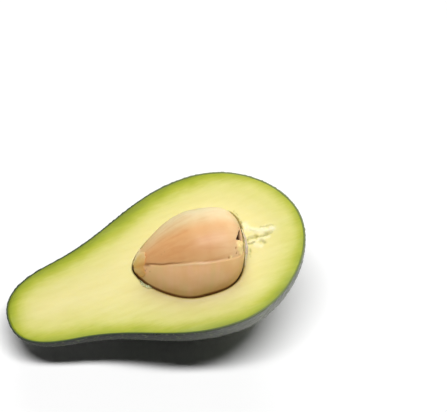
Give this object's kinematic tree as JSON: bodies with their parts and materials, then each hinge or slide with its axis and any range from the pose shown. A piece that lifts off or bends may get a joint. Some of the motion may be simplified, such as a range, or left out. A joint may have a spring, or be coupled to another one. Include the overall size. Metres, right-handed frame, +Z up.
{
  "type": "avocado half with stone",
  "caption": "Half of a long-necked green avocado, cut lengthwise and lying on its back, with pebbled skin, pale flesh and the stone seated in it.",
  "frame": {"origin": "on the surface that the half rests on, under the middle of its outline", "axes": "+Z up, out of the cut face's side; +X along the fruit, from the neck to the round end; +Y across it"},
  "size_m": [0.1188, 0.0696, 0.0529],
  "materials": {
    "skin": "satin, pebbled",
    "flesh": "moist, soft sheen",
    "stone": "smooth, dull",
    "seed_coat": "thin, papery"
  },
  "bodies": {
    "root": {"skin": "skin", "flesh": "flesh", "stone": "stone", "seed_coat_scrap": "seed_coat"}
  },
  "joints": []
}
